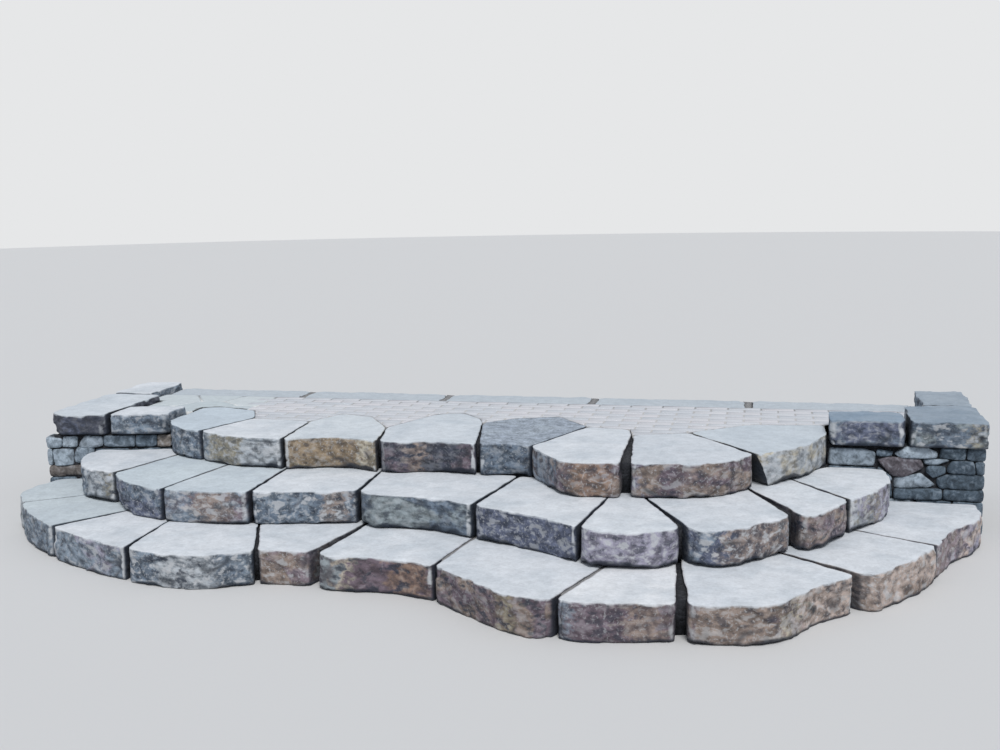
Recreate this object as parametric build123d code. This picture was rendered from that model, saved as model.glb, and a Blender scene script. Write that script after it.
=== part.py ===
from build123d import *
import math
import os

# Outdoor stone steps: three curved courses of rock-faced slabs climb to a paved landing. Low dry-stack
# walls under thick cap stones close the landing at both ends and behind.
# Millimetres. The origin is on the ground, under the middle of the landing's front. +X runs to the right
# of someone who walks up, +Y up the steps, +Z up.

# Steps
riser = 165             # height of one step, which is also the thickness of its slabs
bearing = 150           # how far a slab runs back under the course above it
joint_tight = 8         # joints between two slabs, across their faces: closed, usual and gaping
joint_usual = 14
joint_wide = 42
joint_back = 6          # the same joints at the slabs' backs
arris = 7               # chipped top edge of a face, inwards
joint_arris = 3         # the same beside a joint and at the back
arris_drop = 10         # and downwards
seat_edge = 12          # worn bottom edge of a face, inwards, which leaves the shadow line under it
seat_rise = 20          # and upwards
face_lean = 16          # a split face runs in towards its foot by up to this much
corner_cut = 18         # upright corner of a slab beside a joint
nose_cut = 60           # where a slab's face turns
back_cut = 14           # upright corner at the back of a slab

# Walls and landing
wall_thickness = 260    # dry-stack walls, front to back
left_reach = 2420       # from the middle to the outer face of the left wall
right_reach = 2635      # and of the right wall
landing_reach = 600     # from the middle to the outer face of the back wall
left_gap = 1715         # from the middle to where the left wall stops beside the top course
right_gap = 1880        # and to where the right wall starts
left_skew = 150         # the left wall's front face comes forward by this much towards its outer end
left_set = 450          # front face of the left wall at its inner end, in front of the middle
right_set = 345         # front face of the right wall
paving_thickness = 60   # small pavers and their bed, on the landing
low_left_seat = 80      # the lowest course meets the left wall this far from its outer face
low_left_tail = 240     # and its second slab starts here
middle_left_seat = 300  # the middle course meets the left wall this far from its outer face
low_right_seat = 35     # the same three for the right wall
low_right_tail = 595
middle_right_seat = 485

# Cap stones
left_cap_thickness = 124
right_cap_thickness = 144
back_cap_thickness = 130
left_cap_rise = 42      # top of the left caps above the landing
right_cap_rise = 90     # top of the right caps above the landing
overhang = 20           # caps stand out from the walls by this much
cap_joint = 16          # open joint between two caps
cap_cut = 24            # upright corners of a cap
cap_lean = 7            # a cap's split faces run in towards the foot by this much
corner_cap_left = 370   # length of the left wall's corner cap, along its front
corner_cap_cut = 125    # its outer corner is broken off by this much along the front
corner_cap_right = 385  # length of the right wall's corner cap, along its front
left_cap_depth = 130    # the left corner cap runs back this far past the middle
right_cap_depth = 100   # and the right one
back_cap_count = 5

left_edge = -left_reach
right_edge = right_reach
back_edge = landing_reach
left_stub_end = -left_gap
right_stub_end = right_gap
right_face = -right_set
landing_top = 3 * riser
left_wall_top = landing_top + left_cap_rise - left_cap_thickness
right_wall_top = landing_top + right_cap_rise - right_cap_thickness
back_wall_top = landing_top - back_cap_thickness


def left_face(x):
    """A point on the front face of the left wall, which runs at a slight angle."""
    share = (left_stub_end - x) / (left_stub_end - left_edge)
    return (x, -left_set - share * left_skew)


# Plan of the courses, left to right. A joint goes from the slabs' faces back to the riser above, and has its
# width across the faces. An end is the outer side of the first or last slab. A nose is a turn in a slab's
# face, and a tail one in its back.
bottom_ends = [
    ((-2405, -760), left_face(left_edge + low_left_seat)),
    ((2605, -500), (right_edge - low_right_seat, right_face)),
]
bottom_joints = [
    ((-2255, -1095), (-2030, -920), joint_tight),
    ((-1830, -1480), (-1620, -1180), joint_usual),
    ((-1270, -1735), (-1285, -1400), joint_usual),
    ((-650, -1680), (-770, -1380), joint_usual),
    ((-390, -1668), (-310, -1215), joint_wide),
    ((195, -1750), (258, -1365), joint_tight),
    ((770, -2070), (890, -1700), joint_usual),
    ((1270, -2025), (1225, -1550), joint_wide),
    ((1965, -1555), (1680, -1330), joint_wide),
    ((2335, -1090), (2035, -925), joint_tight),
]
bottom_noses = [
    [(-2385, -930)],
    [(-2080, -1295)],
    [(-1600, -1615)],
    [(-1090, -1790), (-870, -1800)],
    [(-520, -1650)],
    [(-260, -1720), (-50, -1665)],
    [(480, -1975), (650, -2090)],
    [(900, -2090)],
    [(1330, -2040), (1630, -2000), (1760, -1770)],
    [(2040, -1550), (2200, -1330)],
    [(2440, -800), (2575, -650)],
]
bottom_tails = [
    [left_face(left_edge + low_left_tail)],
    *[[]] * 9,
    [(right_edge - low_right_tail, right_face)],
]

middle_ends = [
    ((-2142, -650), left_face(left_edge + middle_left_seat)),
    ((2178, -480), (right_edge - middle_right_seat, right_face)),
]
middle_joints = [
    ((-1730, -1040), (-1620, -640), joint_usual),
    ((-1317, -1316), (-1225, -810), joint_tight),
    ((-855, -1305), (-865, -895), joint_usual),
    ((-330, -1195), (-350, -840), joint_usual),
    ((270, -1360), (345, -910), joint_usual),
    ((800, -1625), (858, -1160), joint_usual),
    ((1250, -1540), (1046, -1110), joint_wide),
    ((1710, -1292), (1510, -880), joint_wide),
    ((1955, -1000), (1735, -690), joint_usual),
]
middle_noses = [
    [(-2080, -800), (-1960, -975)],
    [(-1580, -1215)],
    [(-1080, -1325)],
    [(-600, -1255)],
    [(-250, -1265), (60, -1262)],
    [(550, -1465)],
    [(870, -1680), (1090, -1680)],
    [(1290, -1590), (1440, -1592)],
    [(1820, -1262)],
    [(2040, -880), (2165, -680)],
]
middle_tails = [[left_face(left_stub_end)], *[[]] * 8, [(right_stub_end, right_face)]]

top_ends = [
    ((left_stub_end + joint_back, -485), (left_stub_end + joint_back, -60)),
    ((right_stub_end - joint_back, -345), (right_stub_end - joint_back, -90)),
]
top_joints = [
    ((-1405, -715), (-1256, -312), joint_tight),
    ((-870, -850), (-900, -365), joint_tight),
    ((-352, -830), (-420, -470), joint_usual),
    ((170, -825), (65, -280), joint_usual),
    ((436, -825), (645, -300), joint_tight),
    ((945, -1135), (905, -480), joint_wide),
    ((1535, -850), (1184, -380), joint_usual),
]
top_noses = [
    [(-1615, -620)],
    [(-1230, -815)],
    [(-600, -765)],
    [(-230, -835), (-100, -775)],
    [(270, -775)],
    [(560, -1020), (670, -1165)],
    [(1360, -1075)],
    [(1660, -750), (1780, -610)],
]
top_tails = [
    [(-1600, -20), (-1350, -100)],
    [],
    [(-800, -130), (-600, -190)],
    [(-250, -60), (-105, -15), (30, -170)],
    [(215, -130), (450, -45)],
    [(880, -345)],
    [],
    [(1387, -211), (1500, -126)],
]


def toward(start, end, distance):
    """The point at a distance from start, on the line to end."""
    share = distance / math.dist(start, end)
    return (start[0] + share * (end[0] - start[0]), start[1] + share * (end[1] - start[1]))


def under_riser(joints):
    """Joints that run on, under the course above."""
    return [
        (face, toward(face, foot, math.dist(face, foot) + bearing), width) for face, foot, width in joints
    ]


def area(points):
    """A flat face with sharp corners."""
    return make_face(Polyline(points, close=True))


def cut_corners(points, cuts, sides):
    """Cuts each corner of an outline, and gives each short new side the mean setback of its neighbours."""
    outline = []
    setbacks = []
    for i, corner in enumerate(points):
        before = points[i - 1]
        after = points[(i + 1) % len(points)]
        room = 0.4 * min(math.dist(before, corner), math.dist(corner, after))
        cut = min(cuts[i], room)
        outline += [toward(corner, before, cut), toward(corner, after, cut)]
        setbacks += [[(a + b) / 2 for a, b in zip(sides[i - 1], sides[i])], sides[i]]
    return outline, setbacks


def set_in(outline, distances):
    """An outline, anticlockwise, with each side moved inwards by its own distance."""
    count = len(outline)
    normals = []
    for i, start in enumerate(outline):
        end = outline[(i + 1) % count]
        length = math.dist(start, end)
        normals.append(((start[1] - end[1]) / length, (end[0] - start[0]) / length))
    moved = []
    for i, corner in enumerate(outline):
        (a, b), (c, d) = normals[i - 1], normals[i]
        before, after = distances[i - 1], distances[i]
        turn = a * d - b * c
        moved.append(
            (corner[0] + (before * d - after * b) / turn, corner[1] + (after * a - before * c) / turn)
        )
    return moved


def faceted(rings, levels):
    """A solid with flat sides between outlines whose sides stay parallel, from the lowest up."""
    points = [[(x, y, level) for x, y in ring] for ring, level in zip(rings, levels)]
    count = len(points[0])
    faces = [area(points[0]), area(points[-1])]
    for low, high in zip(points, points[1:]):
        for i in range(count):
            j = (i + 1) % count
            faces.append(area([low[i], low[j], high[j], high[i]]))
    return Solid(Shell(faces))


def slab(points, cuts, sides, level, thickness):
    """A split stone, widest at its shoulder. Each side gives its lean, worn foot and top arris."""
    edges = [(lean + foot, lean, top) for lean, foot, top in sides]
    outline, setbacks = cut_corners(points, cuts, edges)
    foot, shin, top = (set_in(outline, [s[k] for s in setbacks]) for k in range(3))
    levels = [level, level + seat_rise, level + thickness - arris_drop, level + thickness]
    return faceted([foot, shin, outline, top], levels)


def step_slab(level, left, right, nose, tail, lean):
    """One slab of a course, between the middle lines of its two joints. An end has no width of its own."""
    left_width = left[2] if len(left) > 2 else 0
    right_width = right[2] if len(right) > 2 else 0
    front = [left[0], *nose, right[0]]
    back = [right[1], *reversed(tail), left[1]]
    front[0] = toward(left[0], front[1], left_width / 2)
    front[-1] = toward(right[0], front[-2], right_width / 2)
    back[0] = toward(right[1], back[1], min(right_width, joint_back) / 2)
    back[-1] = toward(left[1], back[-2], min(left_width, joint_back) / 2)
    cuts = [corner_cut] + [nose_cut] * len(nose) + [corner_cut] + [back_cut] * len(back)
    sides = [(lean, seat_edge, arris)] * (len(front) - 1) + [(0, 0, joint_arris)] * (len(back) + 1)
    return slab(front + back, cuts, sides, level, riser)


def course(level, ends, joints, noses, tails):
    """The slabs of one course, left to right, each split at its own lean."""
    lines = [ends[0], *joints, ends[1]]
    lean_steps = [0.5, 0.1, 0.9, 0.3, 1.0, 0.2, 0.7]
    stones = []
    for i, nose in enumerate(noses):
        lean = face_lean * lean_steps[i % len(lean_steps)]
        stones.append(step_slab(level, lines[i], lines[i + 1], nose, tails[i], lean))
    return stones


def back_line(ends, joints, tails):
    """The backs of a course, left to right, where the fill meets it."""
    lines = [ends[0], *joints, ends[1]]
    points = []
    for line, tail in zip(lines, tails + [[]]):
        points += [line[1], *tail]
    return points


def wall_areas():
    """Plans of the five dry-stack walls, by name."""
    inner_left = left_edge + wall_thickness
    inner_right = right_edge - wall_thickness
    inner_back = back_edge - wall_thickness
    face_left = left_face(left_edge)
    face_right = left_face(left_stub_end)
    behind_left = (left_edge, face_left[1] + wall_thickness)
    behind_corner = (inner_left, left_face(inner_left)[1] + wall_thickness)
    behind_right = (left_stub_end, face_right[1] + wall_thickness)
    right_back = right_face + wall_thickness
    return {
        "left_wall": area([face_left, face_right, behind_right, behind_left]),
        "left_side_wall": area(
            [behind_left, behind_corner, (inner_left, back_edge), (left_edge, back_edge)]
        ),
        "right_wall": area(
            [
                (right_stub_end, right_face),
                (right_edge, right_face),
                (right_edge, right_back),
                (right_stub_end, right_back),
            ]
        ),
        "right_side_wall": area(
            [
                (inner_right, right_back),
                (right_edge, right_back),
                (right_edge, back_edge),
                (inner_right, back_edge),
            ]
        ),
        "back_wall": area(
            [
                (inner_left, inner_back),
                (inner_right, inner_back),
                (inner_right, back_edge),
                (inner_left, back_edge),
            ]
        ),
    }


def cap(points, top, thickness):
    """One cap stone, by its plan and the height of its top."""
    count = len(points)
    sides = [(cap_lean, seat_edge, arris)] * count
    return slab(points, [cap_cut] * count, sides, top - thickness, thickness)


def box_points(low_x, high_x, low_y, high_y):
    """Corners of an upright rectangle in plan."""
    return [(low_x, low_y), (high_x, low_y), (high_x, high_y), (low_x, high_y)]


def left_caps():
    """Two caps over the left wall's front, the outer one turning the corner, and one over its side."""
    top = landing_top + left_cap_rise
    outer = left_edge - overhang
    corner_left = outer + corner_cap_cut
    corner_right = outer + corner_cap_left
    second_left = corner_right + cap_joint
    second_right = left_stub_end - joint_back
    inner = left_edge + wall_thickness
    corner = [
        (outer, left_face(outer)[1] - overhang + corner_cap_cut),
        (corner_left, left_face(corner_left)[1] - overhang),
        (corner_right, left_face(corner_right)[1] - overhang),
        (corner_right, left_cap_depth),
        (outer, left_cap_depth),
    ]
    second = [
        (second_left, left_face(second_left)[1] - overhang),
        (second_right, left_face(second_right)[1] - overhang),
        (second_right, left_face(second_right)[1] + wall_thickness),
        (second_left, left_face(second_left)[1] + wall_thickness),
    ]
    side = box_points(outer, inner, left_cap_depth + cap_joint, back_edge)
    return [cap(points, top, left_cap_thickness) for points in (corner, second, side)]


def right_caps():
    """Two caps over the right wall's front, the outer one turning the corner, and one over its side."""
    top = landing_top + right_cap_rise
    outer = right_edge + overhang
    front = right_face - overhang
    inner = right_edge - wall_thickness
    corner_left = outer - corner_cap_right
    first = box_points(right_stub_end, corner_left - cap_joint, front, right_face + wall_thickness)
    corner = box_points(corner_left, outer, front, right_cap_depth)
    side = box_points(inner, outer, right_cap_depth + cap_joint, back_edge)
    return [cap(points, top, right_cap_thickness) for points in (first, corner, side)]


def back_caps():
    """Even caps between the side walls, flush with the landing."""
    start = left_edge + wall_thickness
    pitch = (right_edge - wall_thickness - start) / back_cap_count
    inner_back = back_edge - wall_thickness
    stones = []
    for i in range(back_cap_count):
        low = start + i * pitch + cap_joint / 2
        high = start + (i + 1) * pitch - cap_joint / 2
        plan = box_points(low, high, inner_back, back_edge)
        stones.append(cap(plan, landing_top, back_cap_thickness))
    return Compound(children=stones)


def fill_area(line, walls):
    """Plan of the ground that is held between a course's backs and the walls."""
    inner_left = left_edge + wall_thickness
    inner_right = right_edge - wall_thickness
    inner_back = back_edge - wall_thickness
    outline = line + [
        (inner_right, right_face),
        (inner_right, inner_back),
        (inner_left, inner_back),
        left_face(inner_left),
    ]
    plan = area(outline)
    for wall in walls.values():
        plan = plan - wall
    return plan


def build():
    """Every sub-part, by the name of its node."""
    walls = wall_areas()
    bottom_lines = under_riser(bottom_joints)
    middle_lines = under_riser(middle_joints)
    parts = {}

    courses = {
        "bottom_stone": course(0, bottom_ends, bottom_lines, bottom_noses, bottom_tails),
        "middle_stone": course(riser, middle_ends, middle_lines, middle_noses, middle_tails),
        "top_stone": course(2 * riser, top_ends, top_joints, top_noses, top_tails),
        "left_cap": left_caps(),
        "right_cap": right_caps(),
    }
    for name, stones in courses.items():
        for number, stone in enumerate(stones, 1):
            parts[f"{name}_{number}"] = stone
    parts["back_caps"] = back_caps()

    tops = {
        "left_wall": left_wall_top,
        "left_side_wall": left_wall_top,
        "right_wall": right_wall_top,
        "right_side_wall": right_wall_top,
        "back_wall": back_wall_top,
    }
    for name, plan in walls.items():
        parts[name] = extrude(plan, amount=tops[name])

    lower_line = back_line(bottom_ends, bottom_lines, bottom_tails)[1:-1]
    middle_line = back_line(middle_ends, middle_lines, middle_tails)[1:-1]
    top_line = back_line(top_ends, top_joints, top_tails)
    beside_left = (left_stub_end, top_line[0][1])
    beside_right = (right_stub_end, top_line[-1][1])
    upper_outline = [
        left_face(left_stub_end),
        beside_left,
        *top_line,
        beside_right,
        (right_stub_end, right_face),
    ]
    parts["lower_fill"] = extrude(fill_area(lower_line, walls), amount=riser)
    parts["middle_fill"] = Pos(0, 0, riser) * extrude(fill_area(middle_line, walls), amount=riser)

    landing = fill_area(upper_outline, walls)
    paving_level = landing_top - paving_thickness
    upper_fill = Pos(0, 0, 2 * riser) * extrude(landing, amount=riser - paving_thickness)
    paving = Pos(0, 0, paving_level) * extrude(landing, amount=paving_thickness)
    for name in ("left_cap_1", "left_cap_2", "right_cap_1", "right_cap_2"):
        room = parts[name].bounding_box()
        notch = Pos(room.center().X, room.center().Y, room.center().Z) * Box(
            room.size.X, room.size.Y, room.size.Z
        )
        upper_fill = upper_fill - notch
        paving = paving - notch
    parts["upper_fill"] = upper_fill
    parts["landing_paving"] = paving
    return parts


os.makedirs("parts", exist_ok=True)
for node, shape in build().items():
    export_step(shape, f"parts/{node}.step")
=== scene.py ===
import math
from collections import namedtuple

import bmesh
import bpy
import numpy as np
from mathutils import Matrix, Vector
from mathutils.bvhtree import BVHTree
from mathutils.geometry import delaunay_2d_cdt


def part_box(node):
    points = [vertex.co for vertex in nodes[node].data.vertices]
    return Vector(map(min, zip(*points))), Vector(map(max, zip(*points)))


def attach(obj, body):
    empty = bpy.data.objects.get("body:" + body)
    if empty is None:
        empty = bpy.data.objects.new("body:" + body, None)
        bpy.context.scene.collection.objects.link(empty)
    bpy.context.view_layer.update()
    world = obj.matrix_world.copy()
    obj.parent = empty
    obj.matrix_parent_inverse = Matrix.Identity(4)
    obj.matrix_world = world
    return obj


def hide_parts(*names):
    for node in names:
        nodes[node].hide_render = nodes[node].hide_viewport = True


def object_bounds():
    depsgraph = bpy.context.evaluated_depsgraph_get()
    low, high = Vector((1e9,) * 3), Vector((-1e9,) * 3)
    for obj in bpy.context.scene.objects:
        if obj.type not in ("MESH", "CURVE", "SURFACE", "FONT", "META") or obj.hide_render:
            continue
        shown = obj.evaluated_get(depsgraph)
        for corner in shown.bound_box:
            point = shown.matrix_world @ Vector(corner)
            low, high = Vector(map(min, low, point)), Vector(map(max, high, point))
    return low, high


# Outdoor stone steps: thick slabs of split field stone with natural cleft tops, in three curved courses,
# beside low dry-stack walls under cap stones, and a landing of small pavers and flagstones.
# Metres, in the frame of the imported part: +X along the landing, +Y up the steps, +Z up.

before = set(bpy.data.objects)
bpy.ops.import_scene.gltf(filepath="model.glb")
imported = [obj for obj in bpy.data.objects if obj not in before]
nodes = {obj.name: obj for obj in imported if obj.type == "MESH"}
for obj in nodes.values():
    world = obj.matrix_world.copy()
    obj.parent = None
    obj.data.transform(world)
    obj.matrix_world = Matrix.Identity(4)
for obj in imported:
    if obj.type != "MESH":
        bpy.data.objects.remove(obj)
cad_low, cad_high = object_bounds()

# Outlines of the stones
walk_step = 0.004           # outlines are followed in steps of this length
corner_round = 0.017        # and their corners are rounded about this much
open_reach = 0.12           # a side with this much air before it is fully open
hidden_grain = 0.022        # mesh spacing on a side that a neighbour hides
hidden_roughness = 0.40     # such a side is split flatter
hidden_swell = 0.0028       # and stands out this much further
size_margin = 0.0008        # the stones stay this far inside the part's own box

# Stone dust packed in the joints
packing_reach = 0.060       # a joint is where two slabs are nearer than this
packing_setback = 0.085     # it starts this far behind the ends of the joint
packing_drop = 0.020        # and lies this far below the tops
packing_overlap = 0.012     # it runs this far into both slabs
full_setback = 0.110        # some joints are filled up further, from this far behind their ends
full_drop = 0.007
back_cap_setback = 0.020    # and so are those of the caps on the back wall
back_cap_drop = 0.009
landing_middle = (0.1, 0.3)
full_joints = [             # slabs whose joint with the next one is full
    "top_stone_1",
    "middle_stone_1",
    "middle_stone_2",
    "bottom_stone_6",
    "bottom_stone_7",
]

# Dry-stack walls
rubble_depth = 0.11         # how far a wall's stones run into it
rubble_gap = 0.007          # open joint between them
rubble_growth = 0.005       # they are this much larger all round, which their worn edges take off again
core_depth = 0.040          # packed stone starts this far behind a wall's face
core_drop = 0.004           # and ends this far below its top
cap_gap = 0.003             # the stones end this far below the caps
end_gap = 0.004             # and the left wall's lowest ones this far from its ends
left_beds = [0.001, 0.09, 0.165, 0.25, 0.33]   # heights of the courses' beds
right_beds = [0.001, 0.08, 0.155, 0.225, 0.30, 0.365]
back_beds = [0.001, 0.085, 0.16, 0.23, 0.30]
left_front_foot = 0.236     # the left wall's measured stones start at this height

# Landing
paver_length = 0.180
paver_width = 0.065
paver_joint = 0.004
paver_chamfer = 0.004
paver_corner = 0.006
paver_depth = 0.045
sand_drop = 0.0035          # jointing sand lies this far below the pavers
flag_limit = -1.400         # flagstones lie to the left of this, small pavers to the right
flag_joint = 0.010
flag_middles = [            # where the flagstones lie, in plan
    (-2.02, -0.20),
    (-1.98, 0.16),
    (-1.70, -0.36),
    (-1.72, -0.02),
    (-1.52, 0.24),
    (-1.55, -0.16),
    (-1.76, 0.30),
]

# How a kind of stone is broken: spacing of its mesh on faces and tops, relief of its faces, of its thin
# layers and of its flat breaks on top, wear and chips of its arrises and their width, and wear of foot and brow
Finish = namedtuple("Finish", "grain top_grain relief cleft breaks worn chip chip_width undercut brow")
step_finish = Finish(0.0055, 0.020, 1.0, 1.0, 0.0, 0.001, 0.007, 0.026, 0.026, 0.010)
cap_finish = Finish(0.007, 0.018, 1.0, 1.4, 0.003, 0.001, 0.008, 0.030, 0.009, 0.010)
rugged_cap_finish = Finish(0.007, 0.014, 1.1, 1.6, 0.008, 0.003, 0.010, 0.035, 0.008, 0.012)
back_cap_finish = Finish(0.012, 0.030, 1.0, 1.2, 0.002, 0.001, 0.007, 0.030, 0.009, 0.010)
ground_finish = step_finish._replace(undercut=0.013)
rubble_finish = Finish(0.009, 0.011, 0.25, 1.0, 0.013, 0.003, 0.010, 0.018, 0.0, 0.003)
back_rubble_finish = Finish(0.012, 0.018, 0.25, 1.0, 0.012, 0.003, 0.008, 0.020, 0.0, 0.003)
flag_finish = Finish(0.018, 0.035, 0.10, 0.6, 0.0, 0.0, 0.002, 0.012, 0.0, 0.0)

# Photograph
camera_place = Vector((1.571, -6.360, 1.74))
camera_yaw = math.radians(13.0)
camera_pitch = math.radians(8.94)
camera_roll = math.radians(-1.0)
camera_lens = 42.12


# Noise

shuffle = np.random.default_rng(11).permutation(256)
shuffle = np.concatenate([shuffle, shuffle, shuffle])
slopes = np.random.default_rng(12).normal(size=(256, 3))
slopes /= np.linalg.norm(slopes, axis=1)[:, None]
jitter = np.random.default_rng(13).random((256, 3))


def picks(cell):
    """A number from 0 to 255 for each cell of a lattice."""
    x, y, z = (cell[:, k] & 255 for k in range(3))
    return shuffle[shuffle[shuffle[x] + y] + z]


def ripple(points, size, seed=0):
    """Smooth noise from about -1 to 1, with swells of the given size in metres."""
    spots = points / size + seed * 37.7
    cell = np.floor(spots).astype(int)
    part = spots - cell
    ease = part**3 * (part * (part * 6 - 15) + 10)
    total = np.zeros(len(points))
    for corner in np.ndindex(2, 2, 2):
        corner = np.array(corner)
        slope = slopes[picks(cell + corner)]
        weight = np.prod(np.where(corner, ease, 1 - ease), axis=1)
        total += weight * np.sum(slope * (part - corner), axis=1)
    return total * 1.7


def rough(points, size, seed=0, octaves=4):
    """Ripples on ripples, each half the size and half the height of the last."""
    return sum(ripple(points, size / 2**k, seed + k) / 2**k for k in range(octaves))


def facets(points, size, seed=0):
    """Flat breaks that lie at slight slopes to each other, about 0 to 1."""
    spots = points / size + seed * 19.3
    cell = np.floor(spots).astype(int)
    height = np.zeros(len(points))
    total = np.zeros(len(points))
    for corner in np.ndindex(3, 3, 3):
        near = cell + np.array(corner) - 1
        pick = picks(near)
        away = spots - near - jitter[pick]
        weight = np.exp(-16 * np.sum(away**2, axis=1))
        height += weight * (jitter[pick, 0] + 0.5 * np.sum(slopes[pick] * away, axis=1))
        total += weight
    return np.clip(height / total, 0, 1)


def smooth(value, low, high):
    """0 on low's side, 1 on high's side, and a smooth step between."""
    share = np.clip((value - low) / (high - low), 0, 1)
    return share * share * (3 - 2 * share)


# Meshes


def keep_numbers(mesh, name, values):
    """Keeps one number for each point of a mesh, for its material to read."""
    layer = mesh.attributes.get(name) or mesh.attributes.new(name, "FLOAT", "POINT")
    layer.data.foreach_set("value", np.asarray(values, dtype=np.float32))


def joined_solid(node):
    """A CAD node's solid as a closed mesh, in a bmesh of its own."""
    solid = bmesh.new()
    solid.from_mesh(nodes[node].data)
    bmesh.ops.remove_doubles(solid, verts=solid.verts, dist=1e-5)
    return solid


def new_mesh(name, points, faces):
    """A mesh from its points and faces."""
    mesh = bpy.data.meshes.new(name)
    mesh.from_pydata(points, [], faces)
    return mesh


def prism(plan, low, high):
    """The points and faces of an outline in plan that is raised from one height to another."""
    count = len(plan)
    points = [(*p, z) for z in (low, high) for p in plan]
    faces = [(i, (i + 1) % count, (i + 1) % count + count, i + count) for i in range(count)]
    return points, faces + [tuple(range(count - 1, -1, -1)), tuple(range(count, 2 * count))]


def anticlockwise(plan):
    """An outline in plan, turned round if it runs clockwise."""
    after = np.roll(plan, -1, axis=0)
    turn = np.sum(plan[:, 0] * after[:, 1] - plan[:, 1] * after[:, 0])
    return plan if turn > 0 else plan[::-1]


def piece(name, mesh, material, slot, *replaced):
    """Puts a mesh in the scene as a piece of the part, in place of its CAD nodes."""
    thing = bpy.data.objects.new(name, mesh)
    bpy.context.scene.collection.objects.link(thing)
    mesh.materials.clear()
    mesh.materials.append(material)
    mesh.shade_smooth()
    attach(thing, "root")
    if replaced:
        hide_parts(*replaced)
    return thing


def kept_inside(mesh, other):
    """The part of a closed mesh that lies inside another one, as a new mesh."""
    first = bpy.data.objects.new("first", mesh)
    second = bpy.data.objects.new("second", other)
    for thing in (first, second):
        bpy.context.scene.collection.objects.link(thing)
    step = first.modifiers.new("step", "BOOLEAN")
    step.operation = "INTERSECT"
    step.solver = "MANIFOLD"
    step.object = second
    graph = bpy.context.evaluated_depsgraph_get()
    result = bpy.data.meshes.new_from_object(first.evaluated_get(graph))
    for thing in (first, second):
        bpy.data.objects.remove(thing)
    return result


def plan_loops(node, from_top):
    """The outlines of a node's solids in plan, anticlockwise, at one of its levels, counted from the top."""
    solid = joined_solid(node)
    levels = sorted({round(v.co.z, 5) for v in solid.verts})
    links = {}
    for edge in solid.edges:
        at_level = all(abs(v.co.z - levels[-from_top]) < 1e-4 for v in edge.verts)
        at_side = any(abs(f.normal.z) < 0.99 for f in edge.link_faces)
        if at_level and at_side:
            a, b = edge.verts
            links.setdefault(a, []).append(b)
            links.setdefault(b, []).append(a)
    loops = []
    while links:
        start = min(links, key=lambda v: (round(v.co.x, 5), round(v.co.y, 5)))
        corner, last = start, None
        plan = []
        while corner in links:
            plan.append(corner.co[:2])
            ahead = [v for v in links.pop(corner) if v is not last]
            corner, last = ahead[0], corner
        loops.append(anticlockwise(np.array(plan)))
    solid.free()
    return loops


def all_but(node):
    """Every CAD node but one in a tree, to feel how much air is before that one's sides."""
    points = []
    polygons = []
    for name, thing in nodes.items():
        if name != node:
            first = len(points)
            points += [tuple(v.co) for v in thing.data.vertices]
            polygons += [tuple(first + i for i in p.vertices) for p in thing.data.polygons]
    return BVHTree.FromPolygons(points, polygons)


def circle_mean(values, reach):
    """Values round a closed line, each evened out with its neighbours over a reach of so many steps."""
    steps = np.arange(-int(3 * reach), int(3 * reach) + 1)
    weights = np.exp(-0.5 * (steps / reach) ** 2)
    weights /= weights.sum()
    return sum(weight * np.roll(values, -step, axis=0) for step, weight in zip(steps, weights))


Line = namedtuple("Line", "place out air")


def walk(corners, grain, neighbours=None, level=0.0, rounding=corner_round):
    """A line round an outline, with rounded corners: its points, the way out of the stone at each, and how much
    air is before it. The points stand close where the side is open, and further apart where it is hidden."""
    run = np.roll(corners, -1, axis=0) - corners
    length = np.linalg.norm(run, axis=1)
    before = np.concatenate([[0], np.cumsum(length)])
    count = int(before[-1] / walk_step)
    along = (np.arange(count) + 0.5) * before[-1] / count
    side = np.searchsorted(before, along) - 1
    place = corners[side] + run[side] * ((along - before[side]) / length[side])[:, None]
    place = circle_mean(place, rounding / walk_step)
    ahead = np.roll(place, -2, axis=0) - np.roll(place, 2, axis=0)
    out = np.stack([ahead[:, 1], -ahead[:, 0]], axis=1)
    out = circle_mean(out / np.linalg.norm(out, axis=1)[:, None], 1.5)
    out /= np.linalg.norm(out, axis=1)[:, None]
    air = np.ones(count)
    if neighbours:
        inside = 0.004
        for i in range(count):
            spot = Vector((*(place[i] - inside * out[i]), level))
            hit = neighbours.ray_cast(spot, Vector((*out[i], 0)), inside + open_reach)
            if hit[0] is not None:
                air[i] = max(hit[3] - inside, 0) / open_reach
        air = circle_mean(air, 1.5)
    open_here = circle_mean((air > 0.3).astype(float), 8) > 0.05
    steps = np.cumsum(walk_step / np.where(open_here, grain, hidden_grain))
    total = max(int(steps[-1]), 12)
    marks = (np.arange(total) + 0.5) * steps[-1] / total
    index = np.interp(marks, steps, np.arange(count))
    kept = [np.interp(index, np.arange(count), column) for column in (*place.T, *out.T, air)]
    return Line(np.stack(kept[:2], axis=1), np.stack(kept[2:4], axis=1), kept[4])


def inside_line(points, ring):
    """Whether points in plan lie inside a closed line."""
    after = np.roll(ring, -1, axis=0)
    x, y = points[:, :1], points[:, 1:]
    rise = np.where(after[:, 1] == ring[:, 1], 1, after[:, 1] - ring[:, 1])
    crossed = (ring[:, 1] > y) != (after[:, 1] > y)
    before = x < ring[:, 0] + (y - ring[:, 1]) / rise * (after[:, 0] - ring[:, 0])
    return np.sum(crossed & before, axis=1) % 2 == 1


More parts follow.
